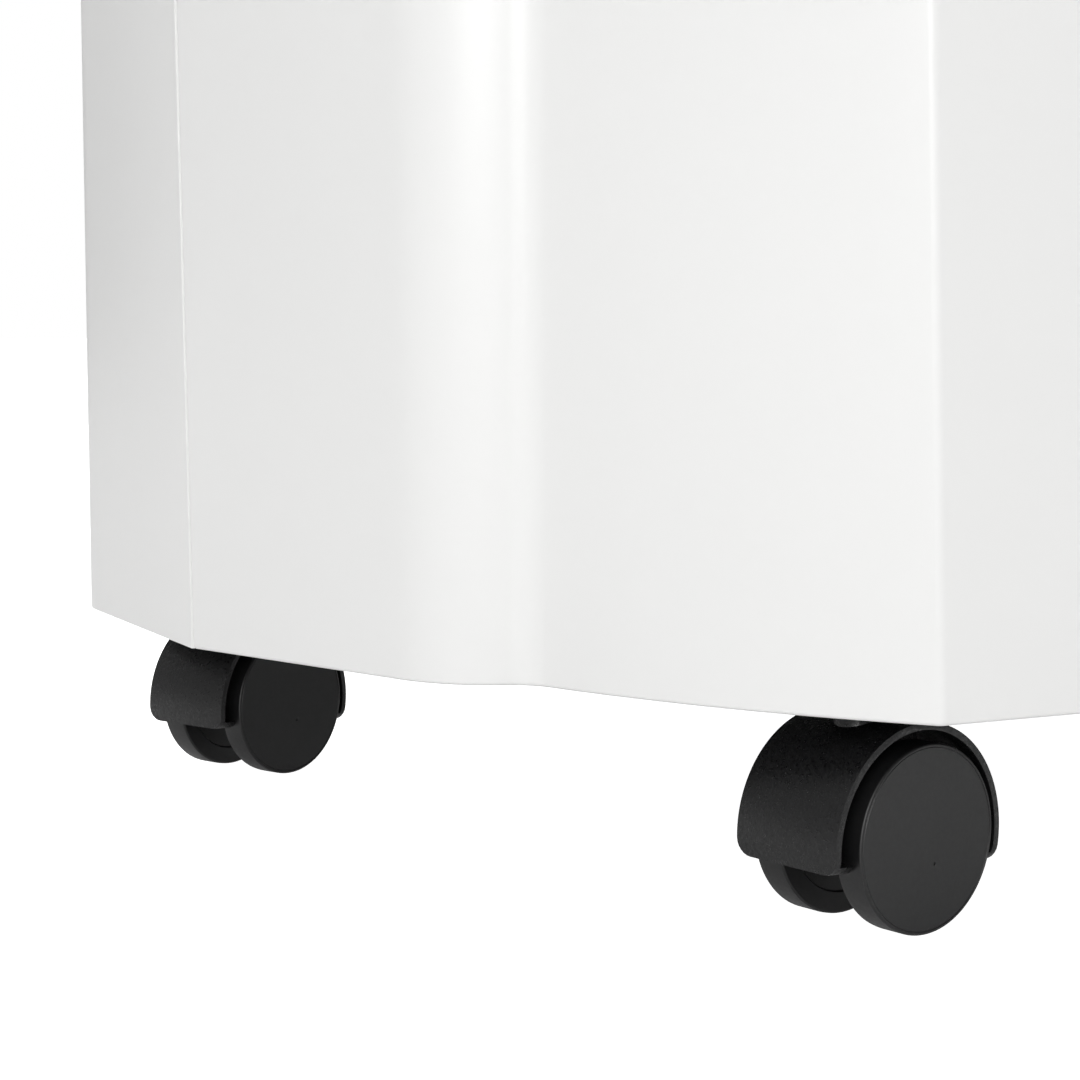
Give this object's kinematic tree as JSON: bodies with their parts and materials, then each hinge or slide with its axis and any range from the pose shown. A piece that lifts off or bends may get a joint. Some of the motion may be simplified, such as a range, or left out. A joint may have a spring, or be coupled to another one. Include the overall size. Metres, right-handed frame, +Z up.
{
  "type": "dehumidifier",
  "caption": "Free-standing room dehumidifier on swivel casters, with a rear slide-out water tank, lift-out air filter, top louvre and push-button panel.",
  "frame": {"origin": "on the floor under the middle of the cabinet's bounding box", "axes": "+Z up, front towards -Y, +X to the right of someone looking along +Y at the front"},
  "size_m": [0.38, 0.293, 0.6],
  "materials": {
    "white_abs": "satin",
    "grip_plastic": "satin",
    "pan_plastic": "matte",
    "tray_plastic": "matte",
    "panel_black": "gloss",
    "smoked_lens": "gloss",
    "circuit_board": "satin",
    "button_grey": "satin",
    "filter_grey": "matte",
    "filter_cloth": "woven",
    "tank_plastic": "satin",
    "clear_plastic": "gloss",
    "handle_grey": "satin",
    "float_foam": "matte",
    "switch_black": "matte",
    "spout_white": "satin",
    "black_rubber": "matte",
    "zinc_steel": "zinc plated",
    "fin_aluminium": "bright",
    "copper_tube": "drawn",
    "black_enamel": "satin",
    "motor_steel": "satin",
    "impeller_black": "matte",
    "caster_nylon": "fine mould texture",
    "wheel_nylon": "satin",
    "pin_steel": "satin"
  },
  "bodies": {
    "cabinet": {"front_shell": "white_abs", "rear_shell": "white_abs", "base_pan": "pan_plastic", "top_cover": "white_abs", "control_fascia": "panel_black", "display_lens": "smoked_lens", "control_board": "circuit_board", "intake_grille": "white_abs", "grip_cup_left": "grip_plastic", "grip_cup_right": "grip_plastic", "float_switch": "switch_black", "drip_tray": "tray_plastic", "drain_spout": "spout_white", "cord_gland": "black_rubber", "case_screws": "zinc_steel", "evaporator_fins": "fin_aluminium", "evaporator_tubes": "copper_tube", "condenser_fins": "fin_aluminium", "condenser_tubes": "copper_tube", "refrigerant_pipes": "copper_tube", "compressor": "black_enamel", "compressor_feet": "black_rubber", "fan_scroll": "tray_plastic", "fan_motor": "motor_steel"},
    "fan": {"fan_impeller": "impeller_black", "fan_shaft": "motor_steel"},
    "louvre": {"outlet_louvre": "white_abs"},
    "air_filter": {"filter_frame": "filter_grey", "filter_mesh": "filter_cloth"},
    "tank": {"tank_bin": "tank_plastic", "tank_face": "white_abs", "tank_window": "clear_plastic", "tank_lid": "tank_plastic"},
    "tank_bail": {"tank_handle": "handle_grey"},
    "float": {"tank_float": "float_foam"},
    "drain_stopper": {"drain_plug": "black_rubber"},
    "power_key": {"power_button": "button_grey"},
    "fan_key": {"fan_button": "button_grey"},
    "down_key": {"down_button": "button_grey"},
    "up_key": {"up_button": "button_grey"},
    "caster_front_left": {"caster_hood_front_left": "caster_nylon", "caster_stem_front_left": "pin_steel", "caster_axle_front_left": "pin_steel"},
    "roller_front_left_outer": {"wheel_front_left_outer": "wheel_nylon"},
    "roller_front_left_inner": {"wheel_front_left_inner": "wheel_nylon"},
    "caster_front_right": {"caster_hood_front_right": "caster_nylon", "caster_stem_front_right": "pin_steel", "caster_axle_front_right": "pin_steel"},
    "roller_front_right_outer": {"wheel_front_right_outer": "wheel_nylon"},
    "roller_front_right_inner": {"wheel_front_right_inner": "wheel_nylon"},
    "caster_rear_left": {"caster_hood_rear_left": "caster_nylon", "caster_stem_rear_left": "pin_steel", "caster_axle_rear_left": "pin_steel"},
    "roller_rear_left_outer": {"wheel_rear_left_outer": "wheel_nylon"},
    "roller_rear_left_inner": {"wheel_rear_left_inner": "wheel_nylon"},
    "caster_rear_right": {"caster_hood_rear_right": "caster_nylon", "caster_stem_rear_right": "pin_steel", "caster_axle_rear_right": "pin_steel"},
    "roller_rear_right_outer": {"wheel_rear_right_outer": "wheel_nylon"},
    "roller_rear_right_inner": {"wheel_rear_right_inner": "wheel_nylon"}
  },
  "joints": [
    {"name": "fan_spin", "type": "hinge", "parent": "cabinet", "child": "fan", "pos_m": [0, 0.04, 0.415], "axis": [0, 1, 0], "continuous": true},
    {"name": "louvre_hinge", "type": "hinge", "parent": "cabinet", "child": "louvre", "pos_m": [0, 0.0765, 0.5951], "axis": [-1, 0, 0], "range_deg": [0, 75]},
    {"name": "filter_lift", "type": "slide", "parent": "cabinet", "child": "air_filter", "axis": [0, 0, 1], "range_m": [0, 0.25]},
    {"name": "tank_slide", "type": "slide", "parent": "cabinet", "child": "tank", "axis": [0, 1, 0], "range_m": [0, 0.15]},
    {"name": "bail_hinge", "type": "hinge", "parent": "tank", "child": "tank_bail", "pos_m": [0, 0.066, 0.222], "axis": [-1, 0, 0], "range_deg": [0, 90]},
    {"name": "float_hinge", "type": "hinge", "parent": "tank", "child": "float", "pos_m": [-0.06, 0.045, 0.203], "axis": [1, 0, 0], "range_deg": [0, 18]},
    {"name": "drain_plug_pull", "type": "slide", "parent": "cabinet", "child": "drain_stopper", "axis": [0, 1, 0], "range_m": [0, 0.03]},
    {"name": "power_press", "type": "slide", "parent": "cabinet", "child": "power_key", "axis": [0, 0, -1], "range_m": [0, 0.0012], "stiffness_N_per_m": 400, "springref_m": -0.0008},
    {"name": "fan_press", "type": "slide", "parent": "cabinet", "child": "fan_key", "axis": [0, 0, -1], "range_m": [0, 0.0012], "stiffness_N_per_m": 400, "springref_m": -0.0008},
    {"name": "down_press", "type": "slide", "parent": "cabinet", "child": "down_key", "axis": [0, 0, -1], "range_m": [0, 0.0012], "stiffness_N_per_m": 400, "springref_m": -0.0008},
    {"name": "up_press", "type": "slide", "parent": "cabinet", "child": "up_key", "axis": [0, 0, -1], "range_m": [0, 0.0012], "stiffness_N_per_m": 400, "springref_m": -0.0008},
    {"name": "caster_front_left_swivel", "type": "hinge", "parent": "cabinet", "child": "caster_front_left", "pos_m": [-0.08897, -0.11165, 0.045], "axis": [0, 0, 1], "continuous": true},
    {"name": "roller_front_left_outer_roll", "type": "hinge", "parent": "caster_front_left", "child": "roller_front_left_outer", "pos_m": [-0.08409, -0.11054, 0.02], "axis": [-0.2215, 0.9751, 0], "continuous": true},
    {"name": "roller_front_left_inner_roll", "type": "hinge", "parent": "caster_front_left", "child": "roller_front_left_inner", "pos_m": [-0.08409, -0.11054, 0.02], "axis": [-0.2215, 0.9751, 0], "continuous": true},
    {"name": "caster_front_right_swivel", "type": "hinge", "parent": "cabinet", "child": "caster_front_right", "pos_m": [0.08897, -0.11165, 0.045], "axis": [0, 0, 1], "continuous": true},
    {"name": "roller_front_right_outer_roll", "type": "hinge", "parent": "caster_front_right", "child": "roller_front_right_outer", "pos_m": [0.08409, -0.11054, 0.02], "axis": [-0.2215, -0.9751, 0], "continuous": true},
    {"name": "roller_front_right_inner_roll", "type": "hinge", "parent": "caster_front_right", "child": "roller_front_right_inner", "pos_m": [0.08409, -0.11054, 0.02], "axis": [-0.2215, -0.9751, 0], "continuous": true},
    {"name": "caster_rear_left_swivel", "type": "hinge", "parent": "cabinet", "child": "caster_rear_left", "pos_m": [-0.14908, 0.1104, 0.045], "axis": [0, 0, 1], "continuous": true},
    {"name": "roller_rear_left_outer_roll", "type": "hinge", "parent": "caster_rear_left", "child": "roller_rear_left_outer", "pos_m": [-0.14456, 0.11254, 0.02], "axis": [-0.4289, 0.9033, 0], "continuous": true},
    {"name": "roller_rear_left_inner_roll", "type": "hinge", "parent": "caster_rear_left", "child": "roller_rear_left_inner", "pos_m": [-0.14456, 0.11254, 0.02], "axis": [-0.4289, 0.9033, 0], "continuous": true},
    {"name": "caster_rear_right_swivel", "type": "hinge", "parent": "cabinet", "child": "caster_rear_right", "pos_m": [0.14908, 0.1104, 0.045], "axis": [0, 0, 1], "continuous": true},
    {"name": "roller_rear_right_outer_roll", "type": "hinge", "parent": "caster_rear_right", "child": "roller_rear_right_outer", "pos_m": [0.14456, 0.11254, 0.02], "axis": [-0.4289, -0.9033, 0], "continuous": true},
    {"name": "roller_rear_right_inner_roll", "type": "hinge", "parent": "caster_rear_right", "child": "roller_rear_right_inner", "pos_m": [0.14456, 0.11254, 0.02], "axis": [-0.4289, -0.9033, 0], "continuous": true}
  ]
}
